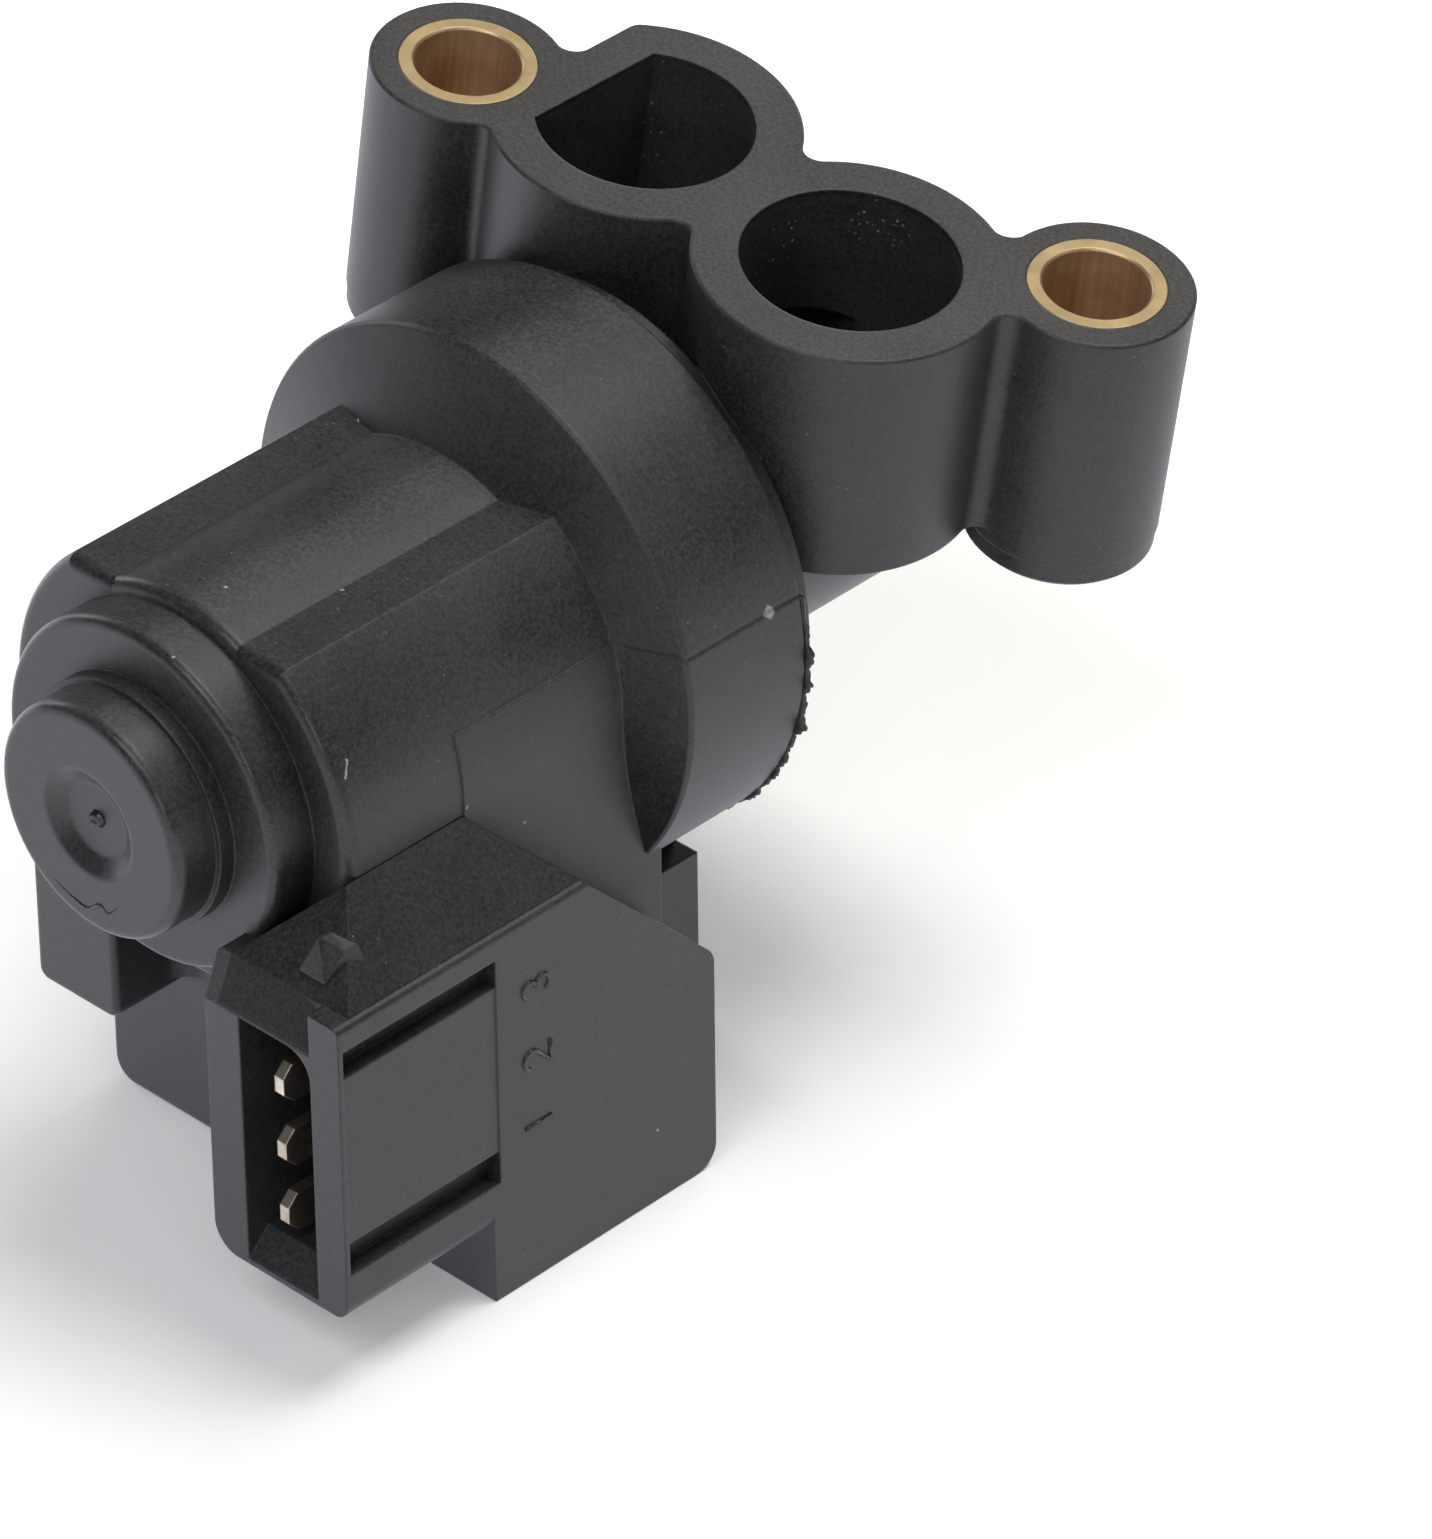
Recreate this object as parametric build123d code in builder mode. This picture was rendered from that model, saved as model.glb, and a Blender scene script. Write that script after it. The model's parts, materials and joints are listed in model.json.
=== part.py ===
from build123d import *
import os
from math import acos, asin, cos, degrees, radians, sin, sqrt, tan

# Idle air control valve: a two-winding rotary motor that turns a slide valve between two ports.
# The flange face is z = 0, with the centre of its bolt circle at the origin. The rotor axis runs along Y
# below the flange with the nose at -Y, and places along it are measured from the disc's front face.

# Frame
axis_drop = 23.0
disc_face_y = -24.9
connector_turn = 9.0

# Fits
seat_gap = 0.03
running_gap = 0.05
joint_gap = 0.1
slide_gap = 0.15

# Port flange
bolt_circle_d = 44.0
bolt_angle = 20.5
bush_bore_r = 3.5
bush_wall = 1.0
bush_edge = 0.15
ear_wall = 1.9
ear_height = 20.1
ear_edge = 0.5
ear_tip = 1.8
ear_tip_step = 0.12
port_spacing = 18.3
port_line_y = -3.0
port_r = 7.15
port_flat = 4.6
port_floor = 14.9
boss_wall = 3.1
boss_floor = 2.5
boss_corner_r = 1.2
flange_edge = 0.15

# Valve chamber and spigot
chamber_r = 8.5
chamber_wall = 3.0
chamber_end_wall = 2.6
chamber_edge = 2.0
throat_r = 13.75
throat_sill_angle = 52.4
throat_relief = 0.35
throat_inset = 1.0
rim_step = 1.3
boss_bite = 0.4
spigot_length = 5.4
groove_lip = 2.0
groove_width = 1.9
groove_depth = 1.4
o_ring_section_r = 0.72

# Motor housing
disc_r = 19.6
disc_t = 10.4
disc_edge = 0.2
disc_cone_angle = 24.0
body_r = 15.2
body_length = 25.7
body_edge = 0.9
body_end_wall = 1.7
cavity_r = 11.0
ledge_width = 2.0
shoulder_height = 11.85
crown_r = 13.1
step_r = 12.1
step_length = 3.4
step_edge = 0.7
nose_r = 8.15
nose_length = 4.35
nose_edge = 0.8
collar_step = 0.4
collar_length = 1.2
dimple_r = 3.9
dimple_slope = 1.3
dimple_depth = 0.8
dimple_edge = 0.6

# Terminal block under the motor, in the connector's turned directions
block_left = -14.5
block_bottom = -34.1
block_front = -19.6
block_rear = 0.5
block_edge = 1.8
front_edge = 0.45
wall_front = -15.9
wall_rear = 1.4
foot_width = 7.4
foot_bottom = -22.9
foot_edge = 0.9
foot_root_r = 1.8
rib_half = 9.7
rib_top = -20.0
rib_undercut = 2.0
parting_height = 4.65
parting_width = 0.35
parting_depth = 0.12
skin_t = 0.12
seam_width = 0.5
seam_depth = 0.4

# Connector
shroud_left = 8.9
shroud_width = 11.9
shroud_top = -6.0
shroud_height = 22.5
shroud_front = -32.5
shroud_edge = 0.5
shroud_corner_r = 2.0
shroud_heel_r = 1.2
shroud_rake = 1.4
ridge_along = -10.9
slope_angle = 45.0
left_wall = 3.0
right_wall = 2.6
top_wall = 3.3
bottom_wall = 2.2
socket_depth = 13.5
socket_corner_r = 2.0
lead_in_land = 0.4
panel_depth = 0.1
guide_depth = 1.3
guide_setback = 0.4
guide_length = 13.2
guide_top_inset = 1.8
guide_top_height = 2.1
guide_low_inset = 5.9
guide_low_height = 2.4
latch_inset = 5.4
latch_width = 2.4
latch_setback = 3.0
latch_ramp = 1.8
latch_flat = 1.0
latch_back = 0.7
latch_height = 1.5

# Terminals
pin_pitch = 5.0
pin_width = 2.8
pin_t = 0.8
pin_shift = -0.65
pin_drop = 1.0
pin_recess = 0.9
pin_taper = 0.8
tail_pitch = 4.0
tail_setback = 4.4
tail_clear = 0.7

# Shaft and rotor
shaft_r = 1.5
shaft_edge = 0.3
shaft_end_gap = 0.5
core_wall = 1.1
magnet_t = 2.0
magnet_angle = 160.0
rotor_clear = 2.1
rotor_inset = 0.9

# Stator
yoke_t = 1.45
yoke_room = 0.8
air_gap = 0.35
shoe_t = 1.0
shoe_angle = 100.0
neck_half = 2.0
neck_inset = 1.5
bobbin_wall = 0.4
bobbin_gap = 0.1
coil_depth = 1.5
coil_corner_r = 0.6

# Bearings, seal and end-play pieces
bearing_wall = 2.7
nose_bearing_length = 5.0
plate_bearing_length = 5.0
plate_t = 3.0
hub_wall = 1.4
hub_nose = 2.5
hub_floor = 1.1
hub_lip = 0.6
hub_hole_gap = 0.5
seal_length = 2.0
washer_t = 0.5
washer_step = 1.0
spring_rise = 0.5
spring_t = 0.4
clip_t = 0.5
clip_bite = 0.35
clip_rim = 1.2

# Stops
stop_half_angle = 25.0
stop_pin_r = 0.8
stop_pin_room = 1.9
stop_pin_floor = 0.8
stop_pin_proud = 0.5
stop_disc_t = 1.5
stop_disc_rim = 0.55
stop_hub_wall = 1.1
stop_hub_length = 1.35

# Slide valve
slide_lap = 1.15
slide_end_room = 1.2
slide_wall = 1.4
slide_angle = 44.0
slide_middle_angle = 147.7
slide_hub_wall = 1.7
slide_web_t = 2.2
shaft_tail_gap = 0.6

# Flange places
bush_r = bush_bore_r + bush_wall
ear_r = bush_r + ear_wall
ear_tip_r = ear_r - ear_tip_step
bolt_x = bolt_circle_d / 2 * cos(radians(bolt_angle))
bolt_y = bolt_circle_d / 2 * sin(radians(bolt_angle))
bolt_places = [(-bolt_x, -bolt_y), (bolt_x, bolt_y)]
boss_r = port_r + boss_wall
port_x = port_spacing / 2
port_along = port_line_y - disc_face_y
rim_t = port_along - boss_r + boss_bite - disc_t

# Shaft diameters, from the inside out
shaft_bore_r = shaft_r + seat_gap
bearing_bore_r = shaft_r + running_gap
core_r = shaft_r + core_wall
magnet_r = core_r + magnet_t
shoe_inner_r = magnet_r + air_gap
shoe_outer_r = shoe_inner_r + shoe_t
bearing_r = shaft_r + bearing_wall
pocket_r = bearing_r + seat_gap
hub_r = pocket_r + hub_wall
washer_r = bearing_r - washer_step
stop_pin_place = hub_r + stop_pin_room
stop_disc_r = stop_pin_place + stop_pin_r + slide_gap + stop_disc_rim
slide_r = chamber_r - slide_gap
skin_r = body_r + skin_t
counterbore_r = cavity_r + ledge_width
spigot_r = counterbore_r - joint_gap
yoke_outer_r = cavity_r - seat_gap
yoke_inner_r = yoke_outer_r - yoke_t

# Places along the rotor axis
nose_front = -body_length - step_length - nose_length
cavity_floor = body_end_wall - body_length
chamber_start = disc_t - spigot_length
plate_start = chamber_start - plate_t
groove_start = chamber_start + groove_lip
clip_start = cavity_floor - clip_t + running_gap
front_washer_start = clip_start - running_gap - washer_t
spring_start = front_washer_start - spring_rise - spring_t
nose_bearing_start = spring_start - nose_bearing_length
hub_start = plate_start - hub_nose
plate_bearing_start = hub_start + hub_floor
plate_bearing_end = plate_bearing_start + plate_bearing_length
seal_end = plate_bearing_end + seal_length
hub_end = seal_end + hub_lip
rear_washer_start = hub_start - washer_t
stop_hub_end = rear_washer_start - running_gap
stop_disc_end = stop_hub_end - stop_hub_length
stop_disc_start = stop_disc_end - stop_disc_t
tail_end = plate_start - tail_setback
yoke_end = tail_end - pin_width - yoke_room
rotor_start = cavity_floor + rotor_clear
rotor_end = yoke_end - rotor_inset
rotor_middle = (rotor_start + rotor_end) / 2
neck_length = rotor_end - rotor_start - 2 * neck_inset
slide_start = port_along - port_r - slide_lap
slide_end = port_along + port_r + slide_lap
chamber_floor = slide_end + slide_end_room
chamber_end = chamber_floor + chamber_end_wall
shaft_front = nose_bearing_start + shaft_end_gap
shaft_back = slide_end - shaft_tail_gap

# Connector places
shroud_right = shroud_left + shroud_width
shroud_bottom = shroud_top - shroud_height
slope_end = shroud_top - (block_rear - ridge_along) * tan(radians(slope_angle))
socket_left = shroud_left + left_wall
socket_right = shroud_right - right_wall
socket_top = shroud_top - top_wall
socket_bottom = shroud_bottom + bottom_wall
socket_floor = shroud_front + socket_depth
lead_in = bottom_wall - lead_in_land
pin_u = (socket_left + socket_right) / 2 + pin_shift
pin_mid = (socket_top + socket_bottom) / 2 - pin_drop
pin_tip = shroud_front + pin_recess
tail_top = -stop_disc_r - tail_clear
foot_inner = block_left + foot_width
guide_end = shroud_front + guide_setback + guide_length

# Bobbin sizes, with the flanges as wide as the flux ring allows
tube_length = neck_length + 2 * (seat_gap + bobbin_wall)
tube_height = 2 * (neck_half + seat_gap + bobbin_wall)
flange_length = tube_length + 2 * coil_depth
flange_height = tube_height + 2 * coil_depth
bobbin_inner_x = shoe_outer_r + bobbin_gap
bobbin_outer_x = sqrt((yoke_inner_r - bobbin_gap) ** 2 - (flange_height / 2) ** 2)

rotor_axis = Axis((0, disc_face_y, -axis_drop), (0, 1, 0))
connector_across = Axis((0, 0, 0), (cos(radians(connector_turn)), 0, sin(radians(connector_turn))))
connector_up = Axis((0, 0, 0), (-sin(radians(connector_turn)), 0, cos(radians(connector_turn))))


def across(along, turn=0.0):
    """Plane square to the rotor axis, facing the nose; its x is X turned up by turn degrees."""
    return Plane(
        origin=(0, disc_face_y + along, -axis_drop),
        x_dir=(cos(radians(turn)), 0, sin(radians(turn))),
        z_dir=(0, -1, 0),
    )


def lengthwise(turn=0.0):
    """Plane through the rotor axis; its x runs along the axis and its y is Z turned by turn degrees."""
    return Plane(
        origin=(0, disc_face_y, -axis_drop),
        x_dir=(0, 1, 0),
        z_dir=(cos(radians(turn)), 0, sin(radians(turn))),
    )


def from_below(height):
    """Plane square to the connector's up direction; its x goes across and its y along the rotor axis."""
    turn = radians(connector_turn)
    plane = Plane(
        origin=(0, disc_face_y, -axis_drop),
        x_dir=(cos(turn), 0, sin(turn)),
        z_dir=(-sin(turn), 0, cos(turn)),
    )
    return plane.offset(height)


def beside(distance, side):
    """Plane square to X at a distance from the rotor axis, facing away from it on the given side."""
    return Plane(
        origin=(side * distance, disc_face_y + rotor_middle, -axis_drop),
        x_dir=(0, 1, 0),
        z_dir=(side, 0, 0),
    )


def turned_box(along, left, right, bottom, top):
    """Rectangle across the axis between limits in the connector's directions."""
    with BuildSketch(across(along, connector_turn)) as outline:
        with Locations((left, bottom)):
            Rectangle(right - left, top - bottom, align=(Align.MIN, Align.MIN))
    return outline.sketch


def ring_sector(along, inner, outer, middle, span):
    """Part of a ring across the axis, span degrees wide about the middle angle."""
    start = middle - span / 2
    with BuildSketch(across(along)) as outline:
        with BuildLine():
            inside = CenterArc((0, 0), inner, start, span)
            outside = CenterArc((0, 0), outer, start, span)
            Line(inside @ 0, outside @ 0)
            Line(inside @ 1, outside @ 1)
        make_face()
    return outline.sketch


def cone_front(radius):
    """Place along the axis of the disc's conical front at a radius."""
    return (radius - disc_r) * tan(radians(disc_cone_angle))


def disc_section(inset=0.0):
    """Half section of the disc with its conical front, set in from the rim and the front by the inset."""
    outer = disc_r - inset
    with BuildSketch(lengthwise()) as outline:
        with BuildLine():
            Polyline(
                (cone_front(cavity_r) + inset, cavity_r),
                (cone_front(outer) + inset, outer),
                (disc_t, outer),
                (disc_t, cavity_r),
                close=True,
            )
        make_face()
    return outline.sketch


def plain_ring(start, end, outer, inner):
    """Plain ring about the rotor axis, such as a sleeve or a washer."""
    with BuildPart() as ring:
        with BuildSketch(across(end)):
            Circle(outer)
            Circle(inner, mode=Mode.SUBTRACT)
        extrude(amount=end - start)
    return ring


def circles(piece, radius):
    """The circular edges of a piece that have the given radius."""
    round_edges = piece.edges().filter_by(GeomType.CIRCLE)
    return round_edges.filter_by(lambda edge: abs(edge.radius - radius) < seat_gap / 10)


def save(piece, name):
    """Labels a finished piece and writes its file."""
    piece.part.label = name
    export_step(piece.part, f"parts/{name}.step")


os.makedirs("parts", exist_ok=True)


# Valve housing: lobed port flange, two bolt ears, the slide's chamber and the spigot into the motor housing
with BuildPart() as valve_housing:
    with BuildSketch(across(chamber_end)):
        Circle(chamber_r + chamber_wall)
    extrude(amount=chamber_end - disc_t)
    fillet(valve_housing.faces().sort_by(Axis.Y)[-1].edges(), radius=chamber_edge)
    with BuildSketch() as flange_outline:
        with Locations((-port_x, port_line_y), (port_x, port_line_y)):
            Circle(boss_r)
        with Locations((-port_x - port_flat - boss_wall, port_line_y)):
            Rectangle(boss_r, 2 * boss_r, align=(Align.MAX, Align.CENTER), mode=Mode.SUBTRACT)
        with Locations(*bolt_places):
            Circle(ear_r)
        fillet(flange_outline.vertices(), radius=boss_corner_r)
    extrude(amount=-port_floor - boss_floor)
    with BuildSketch():
        with Locations(*bolt_places):
            Circle(ear_r)
    extrude(amount=ear_tip - ear_height)
    with BuildSketch():
        with Locations(*bolt_places):
            Circle(ear_tip_r)
    extrude(amount=-ear_height)
    chamfer(circles(valve_housing, ear_tip_r).group_by(Axis.Z)[0], length=ear_edge)
    chamfer(valve_housing.faces().sort_by(Axis.Z)[-1].outer_wire().edges(), length=flange_edge)
    with BuildSketch(across(disc_t + rim_t)):
        Circle(disc_r - rim_step)
    extrude(amount=rim_t)
    with BuildSketch(across(disc_t)):
        Circle(spigot_r)
    extrude(amount=spigot_length)
    with BuildSketch(across(groove_start + groove_width)):
        Circle(spigot_r)
        Circle(spigot_r - groove_depth, mode=Mode.SUBTRACT)
    extrude(amount=groove_width, mode=Mode.SUBTRACT)
    with BuildSketch(across(chamber_floor)):
        Circle(chamber_r)
    extrude(amount=chamber_floor - chamber_start, mode=Mode.SUBTRACT)
    with BuildSketch():
        with Locations((port_x, port_line_y), (-port_x, port_line_y)):
            Circle(port_r)
        with Locations((-port_x - port_flat, port_line_y)):
            Rectangle(port_r, 2 * port_r, align=(Align.MAX, Align.CENTER), mode=Mode.SUBTRACT)
    extrude(amount=-port_floor, mode=Mode.SUBTRACT)
    throat_top = axis_drop - port_floor
    throat_left = port_x - port_r
    throat_sill_x = (chamber_r + throat_relief) * sin(radians(throat_sill_angle))
    throat_sill_z = (chamber_r + throat_relief) * cos(radians(throat_sill_angle))
    with BuildSketch(across(port_along + port_r - throat_inset)):
        with BuildLine():
            roof_start = degrees(asin(throat_top / throat_r))
            roof_end = degrees(acos(throat_left / throat_r))
            roof = CenterArc((0, 0), throat_r, roof_start, roof_end - roof_start)
            Polyline(roof @ 0, (throat_sill_x, throat_sill_z), (throat_left, throat_sill_z), roof @ 1)
        make_face()
        mirror(about=Plane.YZ)
    extrude(amount=2 * (port_r - throat_inset), mode=Mode.SUBTRACT)
    with BuildSketch():
        with Locations(*bolt_places):
            Circle(bush_r + seat_gap)
    extrude(amount=-ear_height, mode=Mode.SUBTRACT)
save(valve_housing, "valve_housing")


# Brass bushes that carry the bolts' clamping force through the ears
for side_name, place in zip(("left", "right"), bolt_places):
    with BuildPart() as bush:
        with BuildSketch():
            with Locations(place):
                Circle(bush_r)
                Circle(bush_bore_r, mode=Mode.SUBTRACT)
        extrude(amount=-ear_height)
        chamfer(circles(bush, bush_bore_r), length=bush_edge)
    save(bush, f"bush_{side_name}")


def terminal(index, gap=0.0):
    """Blade terminal with its bent tail, the lowest first; a gap widens it into the slot that holds it."""
    level = pin_mid + (index - 1) * pin_pitch
    tail_u = (index - 1) * tail_pitch
    half_t = pin_t / 2 + gap
    half_w = pin_width / 2 + gap
    end = tail_end + gap
    with BuildPart() as blade:
        extrude(
            turned_box(end, pin_u - half_t, pin_u + half_t, level - half_w, level + half_w),
            amount=tail_end - pin_tip + 2 * gap,
        )
        chamfer(blade.faces().sort_by(Axis.Y)[0].edges().sort_by(SortBy.LENGTH)[:2], length=pin_taper)
        extrude(
            turned_box(end, tail_u - half_t, pin_u + half_t, level - half_t, level + half_t),
            amount=pin_width + 2 * gap,
        )
        extrude(
            turned_box(end, tail_u - half_t, tail_u + half_t, level - half_t, tail_top),
            amount=pin_width + 2 * gap,
        )
    return blade


for index in range(3):
    save(terminal(index), f"terminal_{index + 1}")


# Connector shroud with the lower rear block, seen from the side as one outline
with BuildPart() as shroud:
    with BuildSketch(lengthwise(connector_turn).offset(shroud_left)) as side_outline:
        with BuildLine():
            Polyline(
                (shroud_front, shroud_bottom),
                (shroud_front, shroud_top),
                (ridge_along, shroud_top),
                (block_rear, slope_end),
                (block_rear, block_bottom),
                (block_front, block_bottom),
                (block_front, shroud_bottom),
                close=True,
            )
        make_face()
        fillet(side_outline.vertices().group_by(Axis.X)[-1], radius=block_edge)
    extrude(amount=shroud_width)
    long_edges = shroud.edges().filter_by(Axis.Y)
    fillet(long_edges.group_by(connector_across)[0].sort_by(connector_up)[1], radius=shroud_corner_r)
    fillet(long_edges.group_by(connector_across)[-1].sort_by(connector_up)[1], radius=shroud_heel_r)
    fillet(long_edges.group_by(connector_up)[-1], radius=shroud_edge)
    with BuildSketch(lengthwise(connector_turn).offset(shroud_left)):
        with BuildLine():
            Polyline(
                (shroud_front, socket_top),
                (shroud_front, shroud_top),
                (shroud_front + shroud_rake, shroud_top),
                close=True,
            )
        make_face()
    extrude(amount=socket_right - shroud_left, mode=Mode.SUBTRACT)


# Terminal block and its foot beside the nose
with BuildPart() as block:
    with BuildSketch(across(block_rear, connector_turn)) as block_outline:
        with Locations((block_left, block_bottom)):
            Rectangle(shroud_left - block_left, -block_bottom, align=(Align.MIN, Align.MIN))
        fillet(block_outline.vertices().group_by(Axis.Y)[0].sort_by(Axis.X)[0], radius=block_edge)
    extrude(amount=block_rear - block_front)
    fillet(block.faces().sort_by(Axis.Y)[0].edges().sort_by(connector_across)[:-1], radius=front_edge)

with BuildPart() as foot:
    with BuildSketch(across(0, connector_turn)) as foot_outline:
        with Locations((block_left, foot_bottom)):
            Rectangle(foot_width, -foot_bottom, align=(Align.MIN, Align.MIN))
        fillet(foot_outline.vertices().group_by(Axis.Y)[0], radius=foot_edge)
    extrude(amount=body_length)
    fillet(foot.faces().sort_by(Axis.Y)[0].edges(), radius=front_edge)


# Mould parting line, a shallow groove along the disc's rim and its front on the connector's side
with BuildPart() as parting_line:
    extrude(
        turned_box(disc_t, body_r, disc_r, parting_height - parting_width, parting_height),
        amount=disc_t - cone_front(cavity_r),
    )
    revolve(disc_section(parting_depth), axis=rotor_axis, mode=Mode.SUBTRACT)


# Motor housing: one moulding with the motor body, the disc, the terminal block and the connector shroud
with BuildPart() as motor_housing:
    with BuildSketch(across(0, connector_turn)):
        Circle(body_r)
        with Locations((0, shoulder_height)):
            Rectangle(2 * body_r, body_r, align=(Align.CENTER, Align.MIN), mode=Mode.SUBTRACT)
        Circle(crown_r)
    extrude(amount=body_length)
    fillet(motor_housing.faces().sort_by(Axis.Y)[0].edges(), radius=body_edge)
    revolve(disc_section(), axis=rotor_axis)
    chamfer(circles(motor_housing, disc_r), length=disc_edge)
    add(parting_line.part, mode=Mode.SUBTRACT)
    with BuildSketch(across(-body_length)):
        Circle(step_r)
    extrude(amount=step_length)
    fillet(motor_housing.faces().sort_by(Axis.Y)[0].edges(), radius=step_edge)
    with BuildSketch(across(-body_length - step_length)):
        Circle(nose_r + collar_step)
    extrude(amount=collar_length)
    with BuildSketch(across(-body_length - step_length)):
        Circle(nose_r)
    extrude(amount=nose_length)
    fillet(motor_housing.faces().sort_by(Axis.Y)[0].edges(), radius=nose_edge)
    with BuildSketch(lengthwise()):
        with BuildLine():
            Polyline(
                (nose_front, 0),
                (nose_front, dimple_r),
                (nose_front + dimple_depth, dimple_r - dimple_slope),
                (nose_front + dimple_depth, 0),
                close=True,
            )
        make_face()
    revolve(axis=rotor_axis, mode=Mode.SUBTRACT)
    dimple_floor_r = dimple_r - dimple_slope
    fillet(circles(motor_housing, dimple_r) + circles(motor_housing, dimple_floor_r), radius=dimple_edge)

    with BuildSketch(across(wall_rear, connector_turn)):
        Circle(skin_r)
        with Locations((0, parting_height)):
            Rectangle(2 * skin_r, skin_r, align=(Align.CENTER, Align.MIN), mode=Mode.SUBTRACT)
        Rectangle(skin_r, 2 * skin_r, align=(Align.MAX, Align.CENTER), mode=Mode.SUBTRACT)
        Rectangle(skin_r, -shroud_bottom, align=(Align.MIN, Align.MAX))
    extrude(amount=wall_rear - wall_front)
    add(block.part)
    add(foot.part)
    with BuildSketch(from_below(foot_bottom + foot_edge)):
        with Locations((foot_inner, block_front)):
            Rectangle(foot_root_r, foot_root_r, align=(Align.MIN, Align.MAX))
        with Locations((foot_inner + foot_root_r, block_front - foot_root_r)):
            Circle(foot_root_r, mode=Mode.SUBTRACT)
    extrude(amount=-foot_bottom - foot_edge)
    extrude(turned_box(disc_t, -rib_half, rib_half, block_bottom, rib_top), amount=disc_t)
    neck_half_width = rib_half - rib_undercut
    extrude(turned_box(disc_t, -neck_half_width, neck_half_width, rib_top, -disc_r / 2), amount=disc_t)
    add(shroud.part)
    with BuildSketch(lengthwise(connector_turn).offset(skin_r)):
        with BuildLine():
            Polyline(
                (wall_front, shroud_top),
                (ridge_along, shroud_top),
                (block_rear, slope_end),
                (block_rear, slope_end - seam_depth),
                (ridge_along, shroud_top - seam_depth),
                (wall_front, shroud_top - seam_depth),
                close=True,
            )
        make_face()
    extrude(amount=seam_width, mode=Mode.SUBTRACT)
    guide_right = shroud_right + panel_depth
    guide_top = shroud_top - guide_top_inset
    guide_low = shroud_bottom + guide_low_inset
    extrude(
        turned_box(guide_end, shroud_right - panel_depth, guide_right, guide_low, guide_top),
        amount=guide_length,
        mode=Mode.SUBTRACT,
    )
    for top, height in ((guide_top, guide_top_height), (guide_low, guide_low_height)):
        extrude(
            turned_box(guide_end, shroud_right - guide_depth, guide_right, top - height, top),
            amount=guide_length,
            mode=Mode.SUBTRACT,
        )
    latch_front = shroud_front + latch_setback
    with BuildSketch(lengthwise(connector_turn).offset(shroud_left + latch_inset)):
        with BuildLine():
            Polyline(
                (latch_front, shroud_top),
                (latch_front + latch_ramp, shroud_top + latch_height),
                (latch_front + latch_ramp + latch_flat, shroud_top + latch_height),
                (latch_front + latch_ramp + latch_flat + latch_back, shroud_top),
                close=True,
            )
        make_face()
    extrude(amount=latch_width)

    with BuildSketch(across(disc_t)):
        Circle(counterbore_r)
    extrude(amount=disc_t - plate_start, mode=Mode.SUBTRACT)
    with BuildSketch(across(plate_start)):
        Circle(cavity_r)
    extrude(amount=plate_start - cavity_floor, mode=Mode.SUBTRACT)
    with BuildSketch(across(cavity_floor)):
        Circle(pocket_r)
    extrude(amount=cavity_floor - nose_bearing_start, mode=Mode.SUBTRACT)
    with BuildSketch(across(socket_floor, connector_turn)) as socket_outline:
        with Locations((socket_left, socket_bottom)):
            Rectangle(socket_right - socket_left, socket_top - socket_bottom, align=(Align.MIN, Align.MIN))
        fillet(socket_outline.vertices().group_by(Axis.Y)[-1].sort_by(Axis.X)[-1], radius=socket_corner_r)
    extrude(amount=socket_depth, mode=Mode.SUBTRACT)
    with BuildSketch(lengthwise(connector_turn).offset(socket_left)):
        with BuildLine():
            Polyline(
                (shroud_front, socket_bottom),
                (shroud_front, socket_bottom - lead_in),
                (shroud_front + lead_in, socket_bottom),
                close=True,
            )
        make_face()
    extrude(amount=socket_right - socket_left, mode=Mode.SUBTRACT)
    for index in range(3):
        add(terminal(index, seat_gap).part, mode=Mode.SUBTRACT)
save(motor_housing, "motor_housing")


# Stator: a flux ring with two poles, each in a wound bobbin
save(plain_ring(cavity_floor, yoke_end, yoke_outer_r, yoke_inner_r), "stator_yoke")

for side_name, side, outward, facing in (("left", -1, Align.MAX, 180), ("right", 1, Align.MIN, 0)):
    with BuildPart() as pole:
        shoe = ring_sector(rotor_end, shoe_inner_r, shoe_outer_r, facing, shoe_angle)
        extrude(shoe, amount=rotor_end - rotor_start)
        with BuildSketch(across(rotor_middle + neck_length / 2)):
            with Locations((side * (shoe_outer_r - shoe_t / 2), 0)):
                Rectangle(yoke_outer_r, 2 * neck_half, align=(outward, Align.CENTER))
            Circle(yoke_inner_r - seat_gap, mode=Mode.INTERSECT)
        extrude(amount=neck_length)
    save(pole, f"pole_{side_name}")

    with BuildPart() as bobbin:
        with BuildSketch(beside(bobbin_inner_x, side)):
            Rectangle(tube_length, tube_height)
        extrude(amount=bobbin_outer_x - bobbin_inner_x)
        with BuildSketch(beside(bobbin_inner_x, side), beside(bobbin_outer_x - bobbin_wall, side)):
            Rectangle(flange_length, flange_height)
        extrude(amount=bobbin_wall)
        with BuildSketch(beside(bobbin_inner_x, side)):
            Rectangle(tube_length - 2 * bobbin_wall, tube_height - 2 * bobbin_wall)
        extrude(amount=bobbin_outer_x - bobbin_inner_x, mode=Mode.SUBTRACT)
    save(bobbin, f"bobbin_{side_name}")

    with BuildPart() as winding:
        with BuildSketch(beside(bobbin_inner_x + bobbin_wall + seat_gap, side)) as turns:
            Rectangle(flange_length - 2 * seat_gap, flange_height - 2 * seat_gap)
            fillet(turns.vertices(), radius=coil_corner_r)
            Rectangle(tube_length + 2 * seat_gap, tube_height + 2 * seat_gap, mode=Mode.SUBTRACT)
        extrude(amount=bobbin_outer_x - bobbin_inner_x - 2 * (bobbin_wall + seat_gap))
    save(winding, f"winding_{side_name}")


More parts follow.
